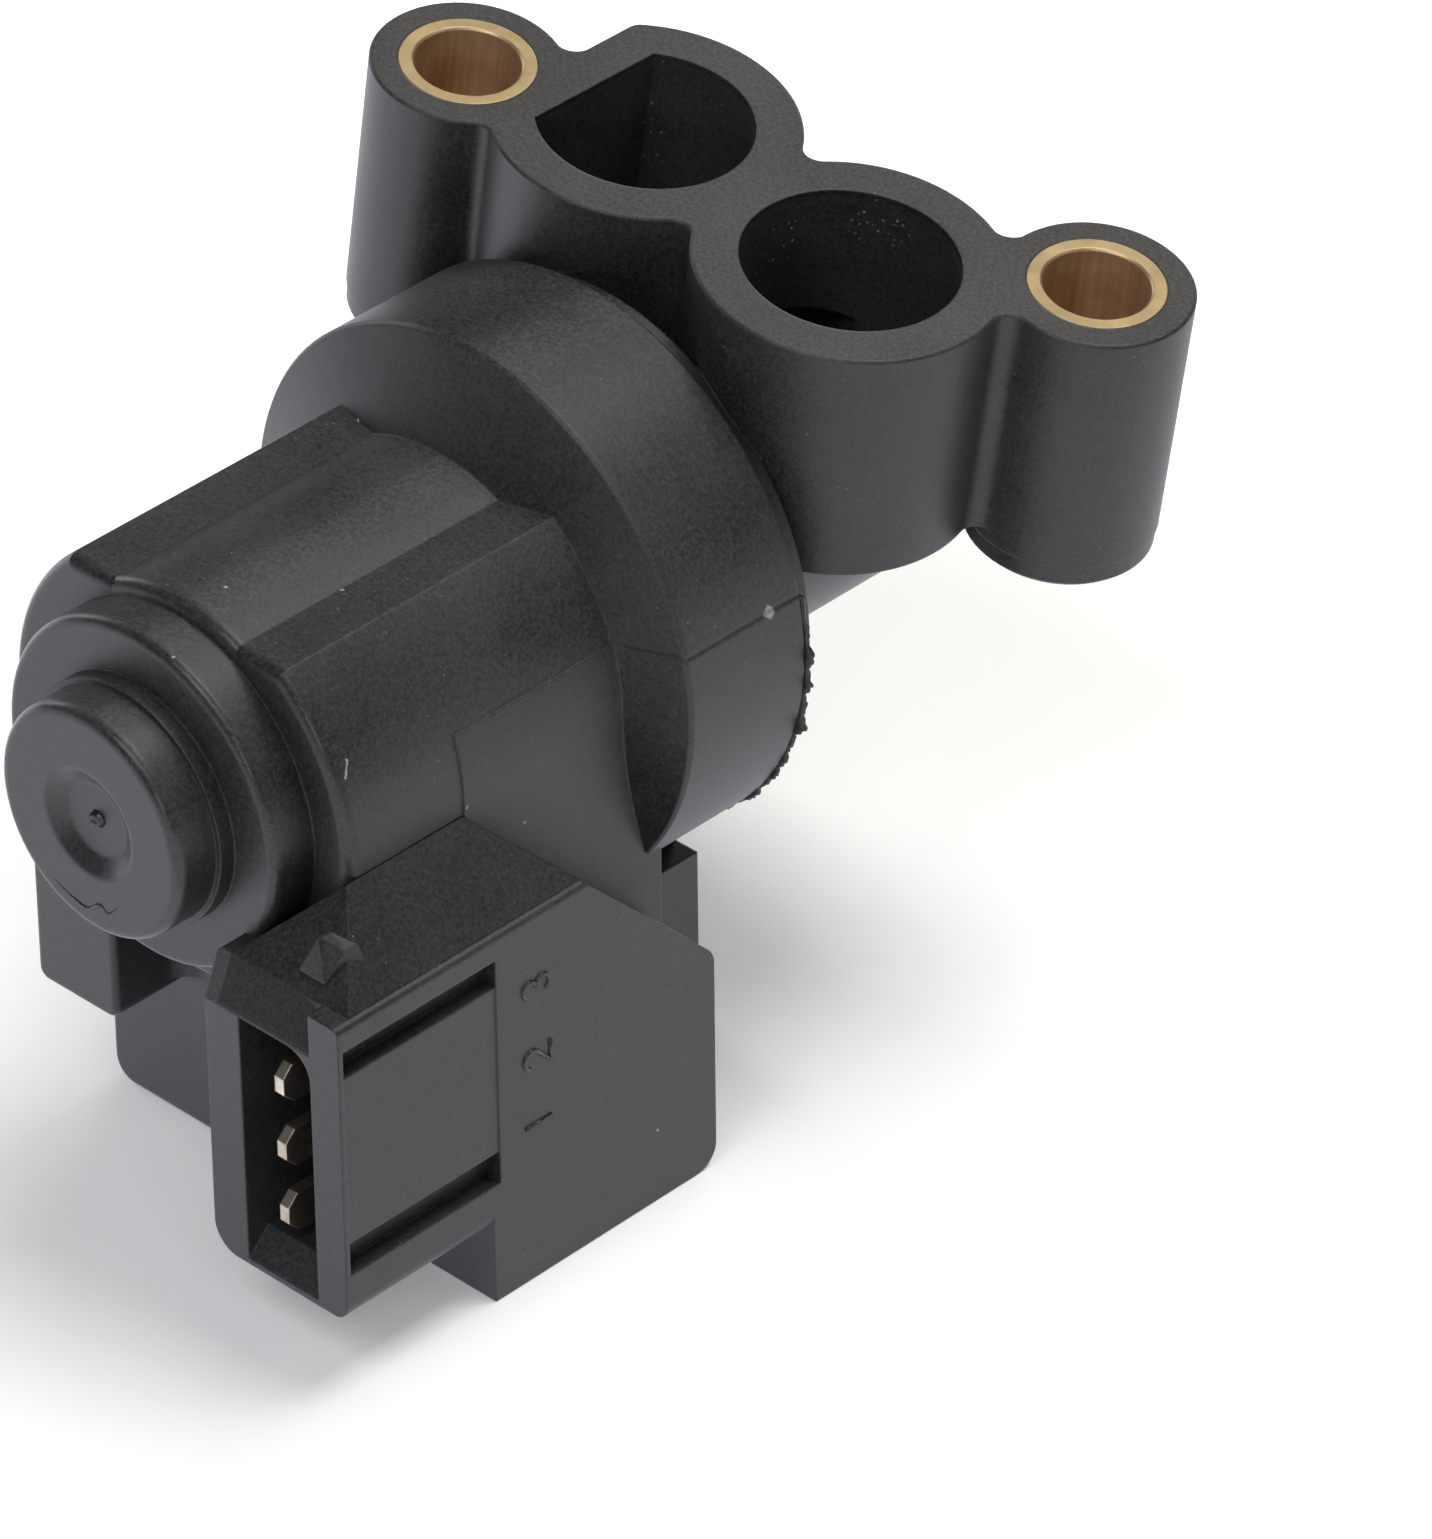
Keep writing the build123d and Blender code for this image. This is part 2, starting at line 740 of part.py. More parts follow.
# Bearing plate: closes the motor and carries the second bearing, the shaft seal and the stop pin
stop_pin_end = chamber_start - stop_pin_floor
with BuildPart() as bearing_plate:
    with BuildSketch(across(chamber_start)):
        Circle(counterbore_r - seat_gap)
    extrude(amount=plate_t)
    with BuildSketch(across(hub_end)):
        Circle(hub_r)
    extrude(amount=hub_end - hub_start)
    with BuildSketch(across(hub_end)):
        Circle(pocket_r)
    extrude(amount=hub_end - plate_bearing_start, mode=Mode.SUBTRACT)
    with BuildSketch(across(plate_bearing_start)):
        Circle(shaft_r + hub_hole_gap)
    extrude(amount=hub_floor, mode=Mode.SUBTRACT)
    with BuildSketch(across(stop_pin_end)):
        with Locations((0, stop_pin_place)):
            Circle(stop_pin_r + seat_gap)
    extrude(amount=stop_pin_end - plate_start, mode=Mode.SUBTRACT)
save(bearing_plate, "bearing_plate")

with BuildPart() as stop_pin:
    with BuildSketch(across(stop_pin_end)):
        with Locations((0, stop_pin_place)):
            Circle(stop_pin_r)
    extrude(amount=stop_pin_end - stop_disc_start + stop_pin_proud)
save(stop_pin, "stop_pin")

save(plain_ring(nose_bearing_start, spring_start, bearing_r, bearing_bore_r), "nose_bearing")
save(plain_ring(plate_bearing_start, plate_bearing_end, bearing_r, bearing_bore_r), "plate_bearing")
save(plain_ring(plate_bearing_end, seal_end, bearing_r, bearing_bore_r), "shaft_seal")
front_washer_end = front_washer_start + washer_t
save(plain_ring(front_washer_start, front_washer_end, washer_r, bearing_bore_r), "front_thrust_washer")
save(plain_ring(rear_washer_start, hub_start, washer_r, bearing_bore_r), "rear_thrust_washer")

with BuildPart() as spring_washer:
    with BuildSketch(lengthwise()):
        with BuildLine():
            Polyline(
                (spring_start, washer_r),
                (spring_start + spring_t, washer_r),
                (front_washer_start, bearing_bore_r),
                (front_washer_start - spring_t, bearing_bore_r),
                close=True,
            )
        make_face()
    revolve(axis=rotor_axis)
save(spring_washer, "spring_washer")

o_ring_along = groove_start + groove_width / 2
o_ring_r = spigot_r - groove_depth + o_ring_section_r + seat_gap
with BuildPart() as o_ring:
    with BuildSketch(lengthwise()):
        with Locations((o_ring_along, o_ring_r)):
            Circle(o_ring_section_r)
    revolve(axis=rotor_axis)
save(o_ring, "o_ring")


# Rotor: shaft, magnet core, two magnets, stop disc, clip and the slide that uncovers the port
with BuildPart() as rotor_shaft:
    with BuildSketch(across(shaft_back)):
        Circle(shaft_r)
    extrude(amount=shaft_back - shaft_front)
    chamfer(circles(rotor_shaft, shaft_r), length=shaft_edge)
    with BuildSketch(across(clip_start + clip_t)):
        Circle(shaft_r)
        Circle(shaft_r - clip_bite, mode=Mode.SUBTRACT)
    extrude(amount=clip_t, mode=Mode.SUBTRACT)
save(rotor_shaft, "rotor_shaft")

clip_inner_r = shaft_r - clip_bite + seat_gap
clip_end = clip_start + clip_t
clip = plain_ring(clip_start + seat_gap, clip_end - seat_gap, shaft_r + clip_rim, clip_inner_r)
save(clip, "retaining_clip")
save(plain_ring(rotor_start, rotor_end, core_r, shaft_bore_r), "magnet_core")
for name, middle in (("upper_magnet", 90), ("lower_magnet", 270)):
    with BuildPart() as magnet:
        arc = ring_sector(rotor_end, core_r + seat_gap, magnet_r, middle, magnet_angle)
        extrude(arc, amount=rotor_end - rotor_start)
    save(magnet, name)

slot_half = stop_pin_r + slide_gap
slot_inner_r = stop_pin_place - slot_half
slot_outer_r = stop_pin_place + slot_half
with BuildPart() as stop_disc:
    with BuildSketch(across(stop_disc_end)):
        Circle(stop_disc_r)
        for end_angle in (90 - stop_half_angle, 90 + stop_half_angle):
            with PolarLocations(stop_pin_place, 1, start_angle=end_angle):
                Circle(slot_half, mode=Mode.SUBTRACT)
    extrude(amount=stop_disc_t)
    slot = ring_sector(stop_disc_end, slot_inner_r, slot_outer_r, 90, 2 * stop_half_angle)
    extrude(slot, amount=stop_disc_t, mode=Mode.SUBTRACT)
    with BuildSketch(across(stop_hub_end)):
        Circle(shaft_r + stop_hub_wall)
    extrude(amount=stop_hub_length)
    with BuildSketch(across(stop_hub_end)):
        Circle(shaft_bore_r)
    extrude(amount=stop_hub_end - stop_disc_start, mode=Mode.SUBTRACT)
save(stop_disc, "stop_disc")

slide_length = slide_end - slide_start
with BuildPart() as slide_valve:
    with BuildSketch(across(slide_end)):
        Circle(shaft_r + slide_hub_wall)
        web_length = slide_r - slide_wall / 2
        Rectangle(web_length, slide_web_t, slide_middle_angle, align=(Align.MIN, Align.CENTER))
    extrude(amount=slide_length)
    shell = ring_sector(slide_end, slide_r - slide_wall, slide_r, slide_middle_angle, slide_angle)
    extrude(shell, amount=slide_length)
    with BuildSketch(across(slide_end)):
        Circle(shaft_bore_r)
    extrude(amount=slide_length, mode=Mode.SUBTRACT)
save(slide_valve, "slide_valve")
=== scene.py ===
import json
from math import cos, pi, radians, sin

import bmesh
import bpy
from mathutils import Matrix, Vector, noise


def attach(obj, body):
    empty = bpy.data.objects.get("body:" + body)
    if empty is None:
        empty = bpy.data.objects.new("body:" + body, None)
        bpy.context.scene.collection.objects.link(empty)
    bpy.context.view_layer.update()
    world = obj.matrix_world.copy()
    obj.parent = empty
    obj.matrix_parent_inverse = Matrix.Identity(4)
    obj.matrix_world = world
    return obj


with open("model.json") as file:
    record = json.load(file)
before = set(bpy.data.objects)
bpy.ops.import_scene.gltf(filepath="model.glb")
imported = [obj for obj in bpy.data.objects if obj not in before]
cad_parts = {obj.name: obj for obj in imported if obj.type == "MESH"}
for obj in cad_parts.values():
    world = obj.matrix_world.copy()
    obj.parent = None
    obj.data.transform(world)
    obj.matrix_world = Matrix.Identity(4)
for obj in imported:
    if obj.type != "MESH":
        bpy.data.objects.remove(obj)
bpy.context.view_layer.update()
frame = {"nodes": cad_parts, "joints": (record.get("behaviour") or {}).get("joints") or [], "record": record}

MM = 0.001
BODY = "housing"
PLASTIC_SLOT = "black_plastic"

# Camera, solved from the photograph: 1432 by 1539 pixels, with the long side on a 36 mm sensor
CAMERA_PLACE = Vector((0.320631, -0.392567, 0.387749))
CAMERA_TURN_DEG = (48.8714, -5.9503, 44.2796)
CAMERA_LENS_MM = 233.7036
SENSOR_MM = 36.0

# The connector and the terminal block are turned about the rotor axis, and the part rests on the block
CONNECTOR_TURN = radians(9.0)
BLOCK_BOTTOM = -34.1
DISC_R = 19.6
DISC_T = 10.4
RIM_R = 18.3
NOSE_FACE = -33.45
DIMPLE_FLOOR = -32.65
CONNECTOR_SIDE = 20.8

rotor_joint = frame["joints"][0]
AXIS_POINT = Vector(rotor_joint["pos_m"])
ACROSS = Vector((cos(CONNECTOR_TURN), 0, sin(CONNECTOR_TURN)))
ALONG = Vector((0, 1, 0))
UP = Vector((-sin(CONNECTOR_TURN), 0, cos(CONNECTOR_TURN)))


def turned(across, along, up):
    """Point in metres, from millimetres in the turned directions and from the disc's front centre."""
    return AXIS_POINT + MM * (across * ACROSS + along * ALONG + up * UP)


# Materials

class Nodes:
    """Short helper for building a material's node tree."""

    def __init__(self, name):
        self.material = bpy.data.materials.new(name)
        self.material.use_nodes = True
        self.tree = self.material.node_tree
        self.shader = self.tree.nodes["Principled BSDF"]

    def add(self, kind, **values):
        node = self.tree.nodes.new(kind)
        for key, value in values.items():
            if key in node.inputs:
                node.inputs[key].default_value = value
            else:
                setattr(node, key, value)
        return node

    def link(self, output, socket):
        self.tree.links.new(output, socket)

    def place(self):
        """Object coordinates in metres, which are the model's own."""
        return self.add("ShaderNodeTexCoord").outputs["Object"]

    def stretched(self, place, scale):
        node = self.add("ShaderNodeMapping")
        node.inputs["Scale"].default_value = scale
        self.link(place, node.inputs["Vector"])
        return node.outputs["Vector"]

    def noise(self, place, scale, detail=3.0, roughness=0.55):
        node = self.add("ShaderNodeTexNoise", Scale=scale, Detail=detail, Roughness=roughness)
        self.link(place, node.inputs["Vector"])
        return node.outputs["Fac"]

    def cells(self, place, scale):
        """Distance to the nearest of many scattered points."""
        node = self.add("ShaderNodeTexVoronoi", Scale=scale, feature="F1")
        self.link(place, node.inputs["Vector"])
        return node.outputs["Distance"]

    def ramp(self, value, low, high, from_low, from_high):
        """Number that goes from low to high as the value goes from from_low to from_high."""
        node = self.add("ShaderNodeMapRange")
        self.link(value, node.inputs["Value"])
        node.inputs["From Min"].default_value = from_low
        node.inputs["From Max"].default_value = from_high
        node.inputs["To Min"].default_value = low
        node.inputs["To Max"].default_value = high
        return node.outputs["Result"]

    def math(self, operation, first, second):
        node = self.add("ShaderNodeMath", operation=operation)
        for socket, value in zip(node.inputs, (first, second)):
            if isinstance(value, float):
                socket.default_value = value
            else:
                self.link(value, socket)
        return node.outputs["Value"]

    def near(self, place, point, reach, soft=0.8):
        """One inside an ellipsoid about a point and nothing outside; reach is its half size each way."""
        away = self.add("ShaderNodeVectorMath", operation="SUBTRACT")
        self.link(place, away.inputs[0])
        away.inputs[1].default_value = point
        share = self.add("ShaderNodeVectorMath", operation="DIVIDE")
        self.link(away.outputs["Vector"], share.inputs[0])
        share.inputs[1].default_value = reach
        length = self.add("ShaderNodeVectorMath", operation="LENGTH")
        self.link(share.outputs["Vector"], length.inputs[0])
        return self.ramp(length.outputs["Value"], 1.0, 0.0, soft, 1.0)

    def spots(self, place, points, radius):
        """One inside any of several small balls and nothing outside."""
        found = None
        for point in points:
            away = self.add("ShaderNodeVectorMath", operation="DISTANCE")
            self.link(place, away.inputs[0])
            away.inputs[1].default_value = point
            ball = self.ramp(away.outputs["Value"], 1.0, 0.0, 0.7 * radius, radius)
            found = ball if found is None else self.math("MAXIMUM", found, ball)
        return found

    def shaken(self, place, scale, distance):
        """The place moved a little by noise, so that marks have ragged outlines."""
        node = self.add("ShaderNodeTexNoise", Scale=scale, Detail=2.0)
        self.link(place, node.inputs["Vector"])
        shift = self.add("ShaderNodeVectorMath", operation="MULTIPLY_ADD")
        self.link(node.outputs["Color"], shift.inputs[0])
        shift.inputs[1].default_value = (2 * distance, 2 * distance, 2 * distance)
        shift.inputs[2].default_value = (-distance, -distance, -distance)
        moved = self.add("ShaderNodeVectorMath", operation="ADD")
        self.link(place, moved.inputs[0])
        self.link(shift.outputs["Vector"], moved.inputs[1])
        return moved.outputs["Vector"]

    def part_of(self, vector, axis):
        """One of the three parts of a vector."""
        node = self.add("ShaderNodeSeparateXYZ")
        self.link(vector, node.inputs["Vector"])
        return node.outputs[axis]

    def facing(self):
        """The surface's own normal in the model's directions."""
        return self.add("ShaderNodeTexCoord").outputs["Normal"]

    def mix(self, factor, first, second):
        """Colour between two; each is a colour or another node's output."""
        node = self.add("ShaderNodeMix", data_type="RGBA")
        self.link(factor, node.inputs["Factor"])
        for socket, value in ((node.inputs["A"], first), (node.inputs["B"], second)):
            if isinstance(value, tuple):
                socket.default_value = value
            else:
                self.link(value, socket)
        return node.outputs["Result"]

    def bump(self, height, distance, strength=1.0, below=None):
        node = self.add("ShaderNodeBump", Strength=strength, Distance=distance)
        self.link(height, node.inputs["Height"])
        if below is not None:
            self.link(below, node.inputs["Normal"])
        return node.outputs["Normal"]

    def soft_edges(self, radius):
        """Normal that rounds the edges by a small radius."""
        return self.add("ShaderNodeBevel", Radius=radius, samples=6).outputs["Normal"]


PLASTIC_DARK = (0.013, 0.0132, 0.0137, 1)
PLASTIC_LIGHT = (0.050, 0.0500, 0.0505, 1)
DUST_FILM = (0.30, 0.29, 0.26, 1)
DUST = (0.36, 0.36, 0.34, 1)
# Scales of the plastic's patterns, in repeats per metre
FLOW_SCALE = 90.0
GRAIN_SCALE = 3600.0
PIT_SCALE = 1300.0
FINE_DUST_SCALE = 900.0
DUST_PATCH_SCALE = 160.0
PORT_SPECK_SCALE = 1900.0
PORT_PATCH_SCALE = 900.0
RAGGED_SCALE = 2500.0
# How much of the tone comes from the grain, and between which noise values it changes
GRAIN_SHARE = 0.65
TONE_LOW = 0.36
TONE_HIGH = 0.64
EDGE_POLISH = 0.7
PORT_ROUGHNESS = 0.8
# Sizes in metres: the softened edges, the height of pits and grain, and the ragged outlines of marks
SOFT_EDGE = 0.00022
PIT_HEIGHT = 0.00003
GRAIN_HEIGHT = 0.00002
RAGGED_SHIFT = 0.00016
SPECK_R = 0.00014
FIBRE_R = 0.00011
FLECK_R = 0.00050

# The two ports in the flange, in metres
PORTS = (Vector((0.00915, -0.003, 0)), Vector((-0.00915, -0.003, 0)))
PORT_REACH = (0.00732, 0.00732, 0.2)
PORT_BOTTOM = -0.016
PORT_LIP = -0.0002
PORT_BLEND = 0.0005

# The middle of the motor's rounded front edges, and how far they reach from it
FRONT_EDGES = turned(0, -29, 0)
FRONT_EDGE_REACH = (0.0175, 0.0085, 0.0175)

# Single marks that the photo shows: a fleck on the rim, a fibre on the body and loose specks
FLECK = turned(18.97, 7.57, 4.45)
FIBRE_ENDS = (turned(13.69, -24.18, 6.60), turned(14.06, -24.67, 5.76))
FIBRE_STEPS = 6
SPECKS = (
    turned(-7.32, -2.49, 11.93),
    turned(5.72, -16.62, 11.85),
    turned(1.53, -22.47, 13.01),
    turned(15.32, -15.67, -0.41),
    turned(15.32, -10.68, -4.11),
    turned(3.20, -28.63, 11.62),
    turned(20.80, -4.82, -28.57),
)
PORT_DUST = (
    (turned(5.12, 22.81, 19.17), (0.0022, 0.0032, 0.0030)),
    (turned(9.04, 28.23, 19.73), (0.0030, 0.0016, 0.0026)),
    (turned(-10.68, 27.59, 18.70), (0.0030, 0.0016, 0.0030)),
)


def dust_mask(n, place):
    """Where dust lies: patches of fine specks, more of them in the ports, and the single marks."""
    fine = n.ramp(n.cells(place, FINE_DUST_SCALE), 1.0, 0.0, 0.035, 0.06)
    patches = n.ramp(n.noise(place, DUST_PATCH_SCALE, 2.0), 0.0, 0.6, 0.50, 0.58)
    dust = n.math("MULTIPLY", fine, patches)
    port_specks = n.ramp(n.cells(place, PORT_SPECK_SCALE), 0.8, 0.0, 0.15, 0.25)
    port_patches = n.ramp(n.noise(place, PORT_PATCH_SCALE, 2.0), 0.0, 1.0, 0.43, 0.54)
    port_specks = n.math("MULTIPLY", port_specks, port_patches)
    for point, reach in PORT_DUST:
        patch = n.math("MULTIPLY", port_specks, n.near(place, point, reach, 0.5))
        dust = n.math("MAXIMUM", dust, patch)
    ragged = n.shaken(place, RAGGED_SCALE, RAGGED_SHIFT)
    start, end = FIBRE_ENDS
    fibre = [start.lerp(end, i / FIBRE_STEPS) for i in range(FIBRE_STEPS + 1)]
    for points, radius in ((SPECKS, SPECK_R), (fibre, FIBRE_R), ((FLECK,), FLECK_R)):
        dust = n.math("MAXIMUM", dust, n.spots(ragged, points, radius))
    return dust


def port_mask(n, place):
    """One on the inside of the ports, below the flange's face."""
    inside = [n.near(place, port, PORT_REACH, 0.99) for port in PORTS]
    height = n.part_of(place, "Z")
    below = n.ramp(height, 1.0, 0.0, -PORT_BLEND, PORT_LIP)
    above = n.ramp(height, 0.0, 1.0, PORT_BOTTOM - PORT_BLEND, PORT_BOTTOM)
    return n.math("MULTIPLY", n.math("MAXIMUM", *inside), n.math("MULTIPLY", below, above))


def front_edge_mask(n, place):
    """One on the rounded front edges of the motor body, its step and its nose."""
    forward = n.math("ABSOLUTE", n.part_of(n.facing(), "Y"), 0.0)
    past_side = n.ramp(forward, 0.0, 1.0, 0.25, 0.50)
    before_face = n.ramp(forward, 1.0, 0.0, 0.80, 0.90)
    turning = n.math("MULTIPLY", past_side, before_face)
    return n.math("MULTIPLY", turning, n.near(place, FRONT_EDGES, FRONT_EDGE_REACH, 0.95))


def black_plastic(name=PLASTIC_SLOT, smooth=0.40, rough=0.50, specular=0.5, share=1.0):
    """Satin moulded black plastic with a fine grain, flow marks, soft edges and some dust."""
    n = Nodes(name)
    place = n.place()
    flow = n.noise(place, FLOW_SCALE, 4.0)
    grain = n.noise(place, GRAIN_SCALE, 2.0, 0.7)
    pits = n.noise(place, PIT_SCALE, 3.0)
    flow_part = n.math("MULTIPLY", flow, 1.0 - GRAIN_SHARE)
    tone = n.math("ADD", flow_part, n.math("MULTIPLY", grain, GRAIN_SHARE))
    colour = n.mix(n.ramp(tone, 0.0, share, TONE_LOW, TONE_HIGH), PLASTIC_DARK, PLASTIC_LIGHT)
    top = n.ramp(n.part_of(n.facing(), "Z"), 0.0, 1.0, 0.990, 0.998)
    film = n.math("MULTIPLY", top, n.ramp(grain, 0.01, 0.07, 0.35, 0.65))
    colour = n.mix(film, colour, DUST_FILM)
    n.link(n.mix(dust_mask(n, place), colour, DUST), n.shader.inputs["Base Color"])
    polish = n.ramp(front_edge_mask(n, place), 1.0, EDGE_POLISH, 0.0, 1.0)
    roughness = n.math("MULTIPLY", n.ramp(tone, smooth, rough, TONE_LOW, TONE_HIGH), polish)
    port_roughness = n.ramp(port_mask(n, place), 0.0, PORT_ROUGHNESS, 0.0, 1.0)
    n.link(n.math("MAXIMUM", roughness, port_roughness), n.shader.inputs["Roughness"])
    n.shader.inputs["Specular IOR Level"].default_value = specular
    coarse = n.bump(pits, PIT_HEIGHT, 0.35, n.soft_edges(SOFT_EDGE))
    n.link(n.bump(grain, GRAIN_HEIGHT, 0.5, coarse), n.shader.inputs["Normal"])
    return n.material


BRASS_FACE = (0.60, 0.46, 0.25, 1)
BRASS_WORN = (0.46, 0.345, 0.18, 1)
BRASS_BORE = (0.52, 0.33, 0.18, 1)
BRASS_STREAK = (0.68, 0.48, 0.30, 1)
SEAM_ENDS = (turned(-19.31, 19.71, 25.39), turned(-19.96, 19.75, 20.97))
SEAM_STEPS = 16


def bush_brass():
    """Turned brass: a dull pale end face, and a browner, oxidised bore with streaks along it."""
    n = Nodes("brass")
    place = n.place()
    is_face = n.ramp(n.math("ABSOLUTE", n.part_of(n.facing(), "Z"), 0.0), 0.0, 1.0, 0.55, 0.8)
    tarnish = n.noise(place, 420.0, 4.0)
    streaks = n.noise(n.stretched(place, (2600, 2600, 60)), 1.0, 3.0)
    face = n.mix(n.ramp(tarnish, 0.0, 1.0, 0.35, 0.68), BRASS_FACE, BRASS_WORN)
    marks = n.math("ADD", n.math("MULTIPLY", streaks, 0.45), n.math("MULTIPLY", tarnish, 0.55))
    bore = n.mix(n.ramp(marks, 0.0, 1.0, 0.40, 0.64), BRASS_BORE, BRASS_STREAK)
    start, end = SEAM_ENDS
    seam = n.spots(place, [start.lerp(end, i / SEAM_STEPS) for i in range(SEAM_STEPS + 1)], 0.00022)
    bore = n.mix(n.math("MULTIPLY", seam, 0.5), bore, BRASS_FACE)
    n.link(n.mix(is_face, bore, face), n.shader.inputs["Base Color"])
    n.link(n.ramp(is_face, 0.5, 0.9, 0.0, 1.0), n.shader.inputs["Metallic"])
    n.link(n.ramp(is_face, 0.34, 0.45, 0.0, 1.0), n.shader.inputs["Roughness"])
    rings = n.noise(n.stretched(place, (300, 300, 3800)), 1.0, 2.0)
    n.link(n.bump(rings, 0.00002, 0.4, n.soft_edges(0.00012)), n.shader.inputs["Normal"])
    return n.material


TIN_CLEAN = (0.62, 0.56, 0.48, 1)
TIN_DULL = (0.44, 0.36, 0.29, 1)


def tinned_blade():
    """Dull tinned brass blade with stamped grain and browner patches."""
    n = Nodes("tinned_blade")
    place = n.place()
    patches = n.noise(place, 700.0, 4.0)
    colour = n.mix(n.ramp(patches, 0.0, 1.0, 0.36, 0.64), TIN_CLEAN, TIN_DULL)
    n.link(colour, n.shader.inputs["Base Color"])
    n.shader.inputs["Metallic"].default_value = 1.0
    n.link(n.ramp(patches, 0.32, 0.48, 0.3, 0.7), n.shader.inputs["Roughness"])
    grain = n.noise(n.stretched(place, (4000, 700, 4000)), 1.0, 2.0)
    n.link(n.bump(grain, 0.00002, 0.4, n.soft_edges(0.00015)), n.shader.inputs["Normal"])
    return n.material


def plain(name, colour, roughness, metallic=0.0, grain_scale=900.0):
    """Inner material with a light mottle and grain."""
    n = Nodes(name)
    place = n.place()
    mottle = n.noise(place, grain_scale, 3.0)
    darker = tuple(0.7 * value for value in colour) + (1,)
    mottled = n.mix(n.ramp(mottle, 0.0, 1.0, 0.3, 0.7), colour + (1,), darker)
    n.link(mottled, n.shader.inputs["Base Color"])
    n.shader.inputs["Metallic"].default_value = metallic
    n.link(n.ramp(mottle, roughness, roughness + 0.1, 0.3, 0.7), n.shader.inputs["Roughness"])
    n.link(n.bump(mottle, 0.00002, 0.4), n.shader.inputs["Normal"])
    return n.material


PLASTIC = black_plastic()
POLISHED_PLASTIC = black_plastic("polished_plastic", smooth=0.22, rough=0.34)
# Darker, duller copy of the plastic for the connector web: its darker tone is painted shade
DULL_SHADED_PLASTIC = black_plastic("dull_shaded_plastic", smooth=0.55, rough=0.65, specular=0.25, share=0.9)
slot_materials = {
    PLASTIC_SLOT: PLASTIC,
    "brass": bush_brass(),
    "tinned_blade": tinned_blade(),
    "soft_iron": plain("soft_iron", (0.30, 0.30, 0.31), 0.45, 1.0),
    "bobbin_plastic": plain("bobbin_plastic", (0.60, 0.57, 0.50), 0.5),
    "copper_wire": plain("copper_wire", (0.55, 0.25, 0.12), 0.35, 1.0, 2500.0),
    "steel": plain("steel", (0.55, 0.55, 0.56), 0.3, 1.0),
    "magnet": plain("magnet", (0.10, 0.10, 0.11), 0.5),
    "bearing_bronze": plain("bearing_bronze", (0.50, 0.36, 0.20), 0.45, 1.0),
    "die_cast": plain("die_cast", (0.60, 0.60, 0.61), 0.45, 1.0),
    "slide_plastic": plain("slide_plastic", (0.06, 0.055, 0.05), 0.45),
    "rubber": plain("rubber", (0.02, 0.02, 0.02), 0.7),
}
for part in frame["record"]["subparts"]:
    data = frame["nodes"][part["node"]].data
    data.materials.clear()
    data.materials.append(slot_materials[part["material_slot"]])


# Moulded pieces and marks that ride on the housing

def add_piece(name, mesh, material, smooth=True):
    """Puts a finished mesh on the housing as a piece of black plastic."""
    for face in mesh.polygons:
        face.use_smooth = smooth
    mesh.materials.append(material)
    piece = bpy.data.objects.new(name, mesh)
    bpy.context.scene.collection.objects.link(piece)
    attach(piece, BODY)


def lofted(name, rings):
    """Mesh through a row of rings, each a list of points, with flat ends."""
    shape = bmesh.new()
    rows = [[shape.verts.new(point) for point in ring] for ring in rings]
    for first, second in zip(rows, rows[1:]):
        count = len(first)
        for i in range(count):
            j = (i + 1) % count
            shape.faces.new((first[i], first[j], second[j], second[i]))
    shape.faces.new(rows[0][::-1])
    shape.faces.new(rows[-1])
    bmesh.ops.recalc_face_normals(shape, faces=shape.faces)
    mesh = bpy.data.meshes.new(name)
    shape.to_mesh(mesh)
    shape.free()
    return mesh


# Weld flash squeezed out behind the disc's rim, heaviest low on the connector's side
FLASH_START_DEG = 12.0
FLASH_END_DEG = -56.0
FLASH_STEP_DEG = 0.4
FLASH_ROOT_R = RIM_R - 0.1
FLASH_MOST = 0.85
FLASH_LEAST_SHARE = 0.35
FLASH_DEEPEST_DIP = -0.25
LUMPS_PER_DEG = 0.28
NIBS_PER_DEG = 1.15
FLASH_THICKNESS = 0.35
FLASH_ROUNDING = 0.14


def flash_height(angle):
    """How far the flash stands past the rim, in millimetres, at an angle in degrees."""
    span = (FLASH_START_DEG - angle) / (FLASH_START_DEG - FLASH_END_DEG)
    arch = sin(pi * min(1.0, 0.15 + 0.85 * span)) ** 2
    swell = FLASH_LEAST_SHARE + (1 - FLASH_LEAST_SHARE) * arch
    lumps = noise.noise(Vector((LUMPS_PER_DEG * angle, 1.7, 0.0)))
    nibs = noise.noise(Vector((NIBS_PER_DEG * angle, 5.1, 0.0)))
    taper = min(1.0, 12 * span, 14 * (1 - span))
    height = FLASH_MOST * swell * (0.45 + 0.75 * lumps + 0.30 * nibs)
    return taper * max(FLASH_DEEPEST_DIP, height)


def add_weld_flash():
    steps = int((FLASH_START_DEG - FLASH_END_DEG) / FLASH_STEP_DEG)
    rings = []
    for i in range(steps + 1):
        angle = FLASH_START_DEG - i * FLASH_STEP_DEG
        outer = DISC_R - 0.05 + flash_height(angle)
        drift = 0.12 * noise.noise(Vector((0.5 * angle, 9.3, 0.0)))
        front = DISC_T + drift - 0.02
        back = front + FLASH_THICKNESS + 0.2 * noise.noise(Vector((0.8 * angle, 3.3, 0.0)))
        middle = (front + back) / 2
        section = [
            (FLASH_ROOT_R, front),
            (outer - FLASH_ROUNDING, front),
            (outer, middle),
            (outer - FLASH_ROUNDING, back),
            (FLASH_ROOT_R, back + 0.3),
        ]
        turn = radians(angle)
        rings.append([turned(r * cos(turn), along, r * sin(turn)) for r, along in section])
    add_piece("weld_flash", lofted("weld_flash", rings), PLASTIC)


# Broken gate stub in the nose's dimple
PIP_ACROSS = 0.05
PIP_UP = 0.05
PIP_R = 0.52
PIP_HEIGHT = 0.4
PIP_SIDES = 20
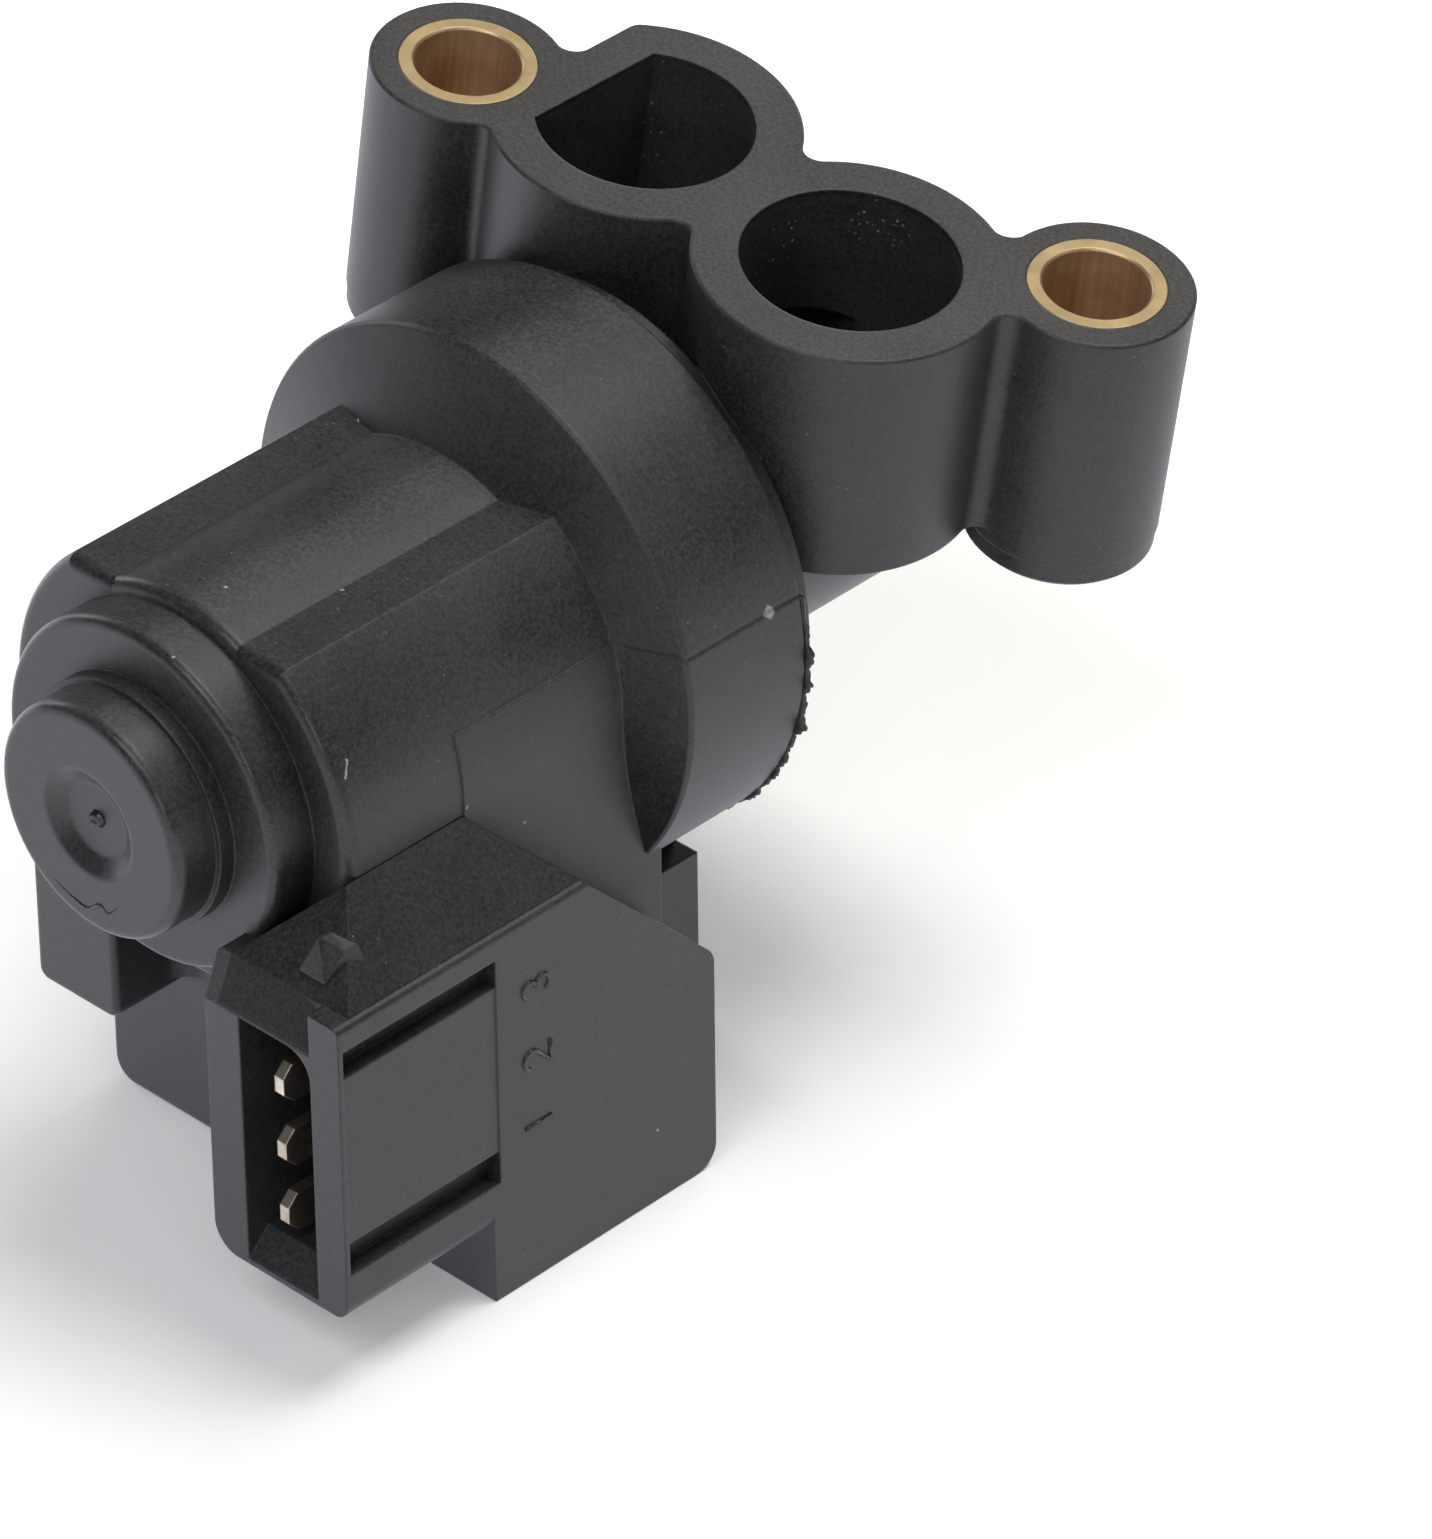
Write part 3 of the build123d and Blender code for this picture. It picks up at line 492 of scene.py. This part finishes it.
# The stub's rings from its foot to its hollow tip: share of the radius, and share of the height
PIP_LEVELS = ((1.35, 0.03), (1.0, -0.06), (0.92, -0.7), (0.74, -1.0), (0.48, -0.72), (0.16, -0.42))


def add_gate_stub():
    rings = []
    for level, (share, rise) in enumerate(PIP_LEVELS):
        ring = []
        for i in range(PIP_SIDES):
            turn = 2 * pi * i / PIP_SIDES
            torn = noise.noise(Vector((2.2 * cos(turn), 2.2 * sin(turn), 0.6 * level)))
            r = PIP_R * share * (1 + 0.22 * torn)
            along = DIMPLE_FLOOR + PIP_HEIGHT * rise * (1 + 0.5 * torn)
            ring.append(turned(PIP_ACROSS + r * cos(turn), along, PIP_UP + r * sin(turn)))
        rings.append(ring)
    add_piece("gate_stub", lofted("gate_stub", rings), POLISHED_PLASTIC)


# Scraped lip low on the nose's face
SCAR_POINTS = ((-3.5, -5.8), (-1.9, -6.4), (-0.5, -6.6), (0.7, -5.8), (1.4, -6.1), (2.3, -5.2))
SCAR_HALF_WIDTH = 0.16
SCAR_PROUD = 0.08


def smooth_line(points, spans):
    """Points on a smooth curve through the given points, spans of them between each pair."""
    vectors = [Vector((x, y, 0)) for x, y in points]
    padded = [2 * vectors[0] - vectors[1]] + vectors + [2 * vectors[-1] - vectors[-2]]
    line = []
    for before, start, end, after in zip(padded, padded[1:], padded[2:], padded[3:]):
        for i in range(spans):
            t = i / spans
            line.append(
                0.5 * (2 * start + (end - before) * t
                       + (2 * before - 5 * start + 4 * end - after) * t ** 2
                       + (3 * start - before - 3 * end + after) * t ** 3)
            )
    return line + [vectors[-1]]


def add_scrape():
    line = smooth_line(SCAR_POINTS, 8)
    rings = []
    for i, point in enumerate(line):
        ahead = line[min(i + 1, len(line) - 1)] - line[max(i - 1, 0)]
        side = Vector((-ahead.y, ahead.x, 0)).normalized()
        share = i / (len(line) - 1)
        size = 0.15 + 0.85 * sin(pi * share)
        ragged = 1 + 0.5 * noise.noise(Vector((5.0 * share, 2.0, 7.0)))
        half = SCAR_HALF_WIDTH * size * ragged
        proud = SCAR_PROUD * size * ragged
        section = [(-half, 0.02), (-0.6 * half, -proud), (0.3 * half, -0.7 * proud), (half, 0.02)]
        ring = []
        for offset, rise in section:
            spot = point + offset * side
            ring.append(turned(spot.x, NOSE_FACE + rise, spot.y))
        rings.append(ring)
    add_piece("nose_scrape", lofted("nose_scrape", rings), POLISHED_PLASTIC)


# Raised pin numbers on the connector's side, read from the back of the connector
NUMBER_TOP = -16.6
NUMBER_HEIGHT = 2.3
NUMBER_WIDTH = 1.5
STROKE_R = 0.16
STROKE_SIDES = 8
NUMBER_PLACES = ((1, -22.1), (2, -17.0), (3, -11.5))


def arc_points(centre, radius, start_deg, end_deg, count=10):
    return [
        (
            centre[0] + radius * cos(radians(start_deg + (end_deg - start_deg) * i / count)),
            centre[1] + radius * sin(radians(start_deg + (end_deg - start_deg) * i / count)),
        )
        for i in range(count + 1)
    ]


def number_strokes(number):
    """Strokes of a figure in a box one unit high, x from 0 to its width share."""
    if number == 1:
        return [[(0.3, 0.0), (0.3, 1.0)]]
    if number == 2:
        return [arc_points((0.3, 0.72), 0.28, 170, -40) + [(0.0, 0.0)], [(0.0, 0.0), (0.6, 0.0)]]
    upper = arc_points((0.28, 0.76), 0.24, 150, -90)
    lower = arc_points((0.28, 0.26), 0.26, 90, -150)
    return [upper + lower[1:]]


def stroke_rings(points, place):
    """Rings of a half-sunk round stroke along a line of points on the connector's side."""
    rings = []
    for i, (x, y) in enumerate(points):
        ahead = points[min(i + 1, len(points) - 1)]
        behind = points[max(i - 1, 0)]
        run = Vector((ahead[0] - behind[0], ahead[1] - behind[1], 0)).normalized()
        side = Vector((-run.y, run.x, 0))
        ring = []
        for k in range(STROKE_SIDES):
            turn = 2 * pi * k / STROKE_SIDES
            rise = STROKE_R * sin(turn)
            shift = STROKE_R * cos(turn) * side
            up = place + (x - 0.3) * NUMBER_WIDTH / 0.6 + shift.x
            along = NUMBER_TOP + (1 - y) * NUMBER_HEIGHT - shift.y
            ring.append(turned(CONNECTOR_SIDE + rise, along, up))
        rings.append(ring)
    return rings


def add_pin_numbers():
    for number, place in NUMBER_PLACES:
        for index, points in enumerate(number_strokes(number)):
            name = f"pin_number_{number}_{index + 1}"
            add_piece(name, lofted(name, stroke_rings(points, place)), POLISHED_PLASTIC)


# Web that fills the corner between the motor body's side and the connector's top, and the latch nub
# on it, in millimetres in the turned directions; the web's ridge, outer edge and inner line run from
# the front to the rear, and its lip and the nub's lines from left to right
WEB_RIDGE = ((15.25, -26.0, -1.0), (15.25, -16.0, -1.0))
WEB_OUTER = ((20.35, -31.05, -5.98), (20.35, -10.95, -5.98))
WEB_FRONT_CORNER = (10.1, -31.15, -5.98)
# The lip lays the web's darker plastic over the connector's front rake: painted shade
WEB_LIP = ((10.1, -32.5, -9.05), (18.1, -32.5, -9.05))
WEB_INNER = ((13.0, -25.0, -6.0), (13.0, -16.0, -6.0))
NUB_FOOT = ((15.3, -30.4, -5.1), (17.6, -30.4, -5.1))
NUB_CREST = ((16.1, -29.4, -2.7), (18.1, -29.0, -3.0))
NUB_CREST_REAR = ((16.5, -28.8, -2.4), (18.3, -28.2, -2.8))
NUB_HEEL = ((17.0, -28.5, -3.4), (18.5, -27.7, -4.2))
SUNK_LEVEL = -6.2


def hull(name, corners):
    """Mesh that wraps the corners, given in the turned directions."""
    shape = bmesh.new()
    for corner in corners:
        shape.verts.new(turned(*corner))
    bmesh.ops.convex_hull(shape, input=shape.verts)
    bmesh.ops.recalc_face_normals(shape, faces=shape.faces)
    mesh = bpy.data.meshes.new(name)
    shape.to_mesh(mesh)
    shape.free()
    return mesh


def sunk(corners):
    """The corners again, at the level where the piece ends inside the connector."""
    return [(across, along, SUNK_LEVEL) for across, along, _ in corners]


def add_connector_web():
    edge = [*WEB_OUTER, WEB_FRONT_CORNER]
    web = [*WEB_RIDGE, *edge, *WEB_LIP, *sunk(edge), *sunk(WEB_INNER)]
    # The web is in the darker copy of the plastic: painted shade
    add_piece("connector_web", hull("connector_web", web), DULL_SHADED_PLASTIC, smooth=False)
    nub = [*NUB_FOOT, *NUB_CREST, *NUB_CREST_REAR, *NUB_HEEL, *sunk(NUB_CREST)]
    add_piece("web_latch_nub", hull("web_latch_nub", nub), PLASTIC, smooth=False)


add_connector_web()
add_weld_flash()
add_gate_stub()
add_scrape()
add_pin_numbers()


# Stage: a white floor under the terminal block, a white surround and soft lamps

FLOOR_SIZE = 8.0
FLOOR_GAP = 0.05
FLOOR_COLOUR = (0.80, 0.80, 0.80, 1)
FLOOR_GLOW_NEAR = 0.20
FLOOR_GLOW_FAR = 1.0
FLOOR_NEAR = 0.06
FLOOR_FAR = 0.24
# Glow of the floor that only glossy rays see, brighter on its left than its right and bluish: painted
# reflections
FLOOR_PAINTED_REFLECTION_LEFT = 0.95
FLOOR_PAINTED_REFLECTION_RIGHT = 0.6
FLOOR_MIDDLE = 0.03
FLOOR_PAINTED_REFLECTION_COLOUR = (0.90, 0.95, 1.06, 1)
WHITE = (1.0, 1.0, 1.0, 1)


def floor_material():
    """White floor that keeps the object's shadow near it and shows as white further out; to glossy rays
    alone it also glows, bluish and brighter on its left, as painted reflections.
    """
    n = Nodes("pale_floor")
    out = n.tree.nodes["Material Output"]
    path = n.add("ShaderNodeLightPath")
    seen = n.math("MAXIMUM", path.outputs["Is Camera Ray"], path.outputs["Is Transmission Ray"])
    place = n.place()
    across = n.part_of(place, "X")
    # Painted reflections: the floor glows for glossy rays only, more on its left
    painted_reflection_strength = n.ramp(across, FLOOR_PAINTED_REFLECTION_LEFT, FLOOR_PAINTED_REFLECTION_RIGHT, -FLOOR_MIDDLE, FLOOR_MIDDLE)
    painted_reflection_glow = n.math("MULTIPLY", path.outputs["Is Glossy Ray"], painted_reflection_strength)
    away = n.add("ShaderNodeVectorMath", operation="LENGTH")
    n.link(place, away.inputs[0])
    glow_strength = n.ramp(away.outputs["Value"], FLOOR_GLOW_NEAR, FLOOR_GLOW_FAR, FLOOR_NEAR, FLOOR_FAR)
    n.link(n.mix(path.outputs["Is Camera Ray"], FLOOR_COLOUR, WHITE), n.shader.inputs["Base Color"])
    n.shader.inputs["Roughness"].default_value = 1.0
    n.shader.inputs["Specular IOR Level"].default_value = 0.0
    glow = n.add("ShaderNodeEmission")
    n.link(n.mix(path.outputs["Is Glossy Ray"], WHITE, FLOOR_PAINTED_REFLECTION_COLOUR), glow.inputs["Color"])
    n.link(n.math("ADD", n.math("MULTIPLY", glow_strength, seen), painted_reflection_glow), glow.inputs["Strength"])
    both = n.add("ShaderNodeAddShader")
    n.link(n.shader.outputs["BSDF"], both.inputs[0])
    n.link(glow.outputs["Emission"], both.inputs[1])
    n.link(both.outputs["Shader"], out.inputs["Surface"])
    return n.material


def add_floor():
    bpy.ops.mesh.primitive_plane_add(size=FLOOR_SIZE)
    floor = bpy.context.object
    floor.name = "floor"
    floor.location = turned(0, 0, BLOCK_BOTTOM - FLOOR_GAP)
    floor.rotation_euler = (0, -CONNECTOR_TURN, 0)
    floor.data.materials.append(floor_material())


WORLD_LIGHT = 0.05


def add_world():
    """White to the camera, and a little even light for the rest."""
    world = bpy.data.worlds.new("studio")
    bpy.context.scene.world = world
    world.use_nodes = True
    tree = world.node_tree
    tree.nodes.clear()
    out = tree.nodes.new("ShaderNodeOutputWorld")
    light = tree.nodes.new("ShaderNodeBackground")
    light.inputs["Color"].default_value = (1, 1, 1, 1)
    light.inputs["Strength"].default_value = WORLD_LIGHT
    white = tree.nodes.new("ShaderNodeBackground")
    white.inputs["Color"].default_value = (1, 1, 1, 1)
    white.inputs["Strength"].default_value = 1.0
    path = tree.nodes.new("ShaderNodeLightPath")
    seen = tree.nodes.new("ShaderNodeMath")
    seen.operation = "MAXIMUM"
    tree.links.new(path.outputs["Is Camera Ray"], seen.inputs[0])
    tree.links.new(path.outputs["Is Transmission Ray"], seen.inputs[1])
    choice = tree.nodes.new("ShaderNodeMixShader")
    tree.links.new(seen.outputs["Value"], choice.inputs["Fac"])
    tree.links.new(light.outputs["Background"], choice.inputs[1])
    tree.links.new(white.outputs["Background"], choice.inputs[2])
    tree.links.new(choice.outputs["Shader"], out.inputs["Surface"])


LAMP_DISTANCE = 1.0
WARM = (1.0, 0.975, 0.93)
COOL = (0.92, 0.955, 1.0)
# Name, height above the horizon and bearing from +X in degrees, size in metres, power in watts, colour
LAMPS = (
    ("back_low", 10, 120, 0.4, 1.5, WARM),
    ("left_low", 10, 175, 0.4, 1.5, COOL),
    ("left_back", 52, 135, 0.4, 0.75, WARM),
    ("right_back", 45, 40, 0.4, 0.45, WARM),
    ("front_high", 52, 270, 0.4, 2.4, COOL),
    ("right_front_high", 52, 315, 0.4, 0.8, COOL),
    ("top_back", 75, 90, 0.5, 5.8, WARM),
    ("edge_spot", 20, 301, 0.14, 0.7, COOL),
)


def add_lamp(name, height_deg, bearing_deg, size, power, colour):
    """Square soft box that faces the part from a height and a bearing."""
    lamp = bpy.data.lights.new(name, "AREA")
    lamp.shape = "SQUARE"
    lamp.size = size
    lamp.energy = power
    lamp.color = colour
    holder = bpy.data.objects.new(name, lamp)
    bpy.context.scene.collection.objects.link(holder)
    height = radians(height_deg)
    bearing = radians(bearing_deg)
    toward = Vector((cos(height) * cos(bearing), cos(height) * sin(bearing), sin(height)))
    holder.location = AXIS_POINT + LAMP_DISTANCE * toward
    holder.rotation_euler = (-toward).to_track_quat("-Z", "Y").to_euler()


def add_camera():
    camera = bpy.data.cameras.new("camera")
    camera.lens = CAMERA_LENS_MM
    camera.sensor_width = SENSOR_MM
    camera.clip_end = 100.0
    holder = bpy.data.objects.new("camera", camera)
    bpy.context.scene.collection.objects.link(holder)
    holder.location = CAMERA_PLACE
    holder.rotation_euler = [radians(angle) for angle in CAMERA_TURN_DEG]
    bpy.context.scene.camera = holder


add_floor()
add_world()
for lamp_values in LAMPS:
    add_lamp(*lamp_values)
add_camera()
bpy.context.scene.view_settings.view_transform = "Standard"
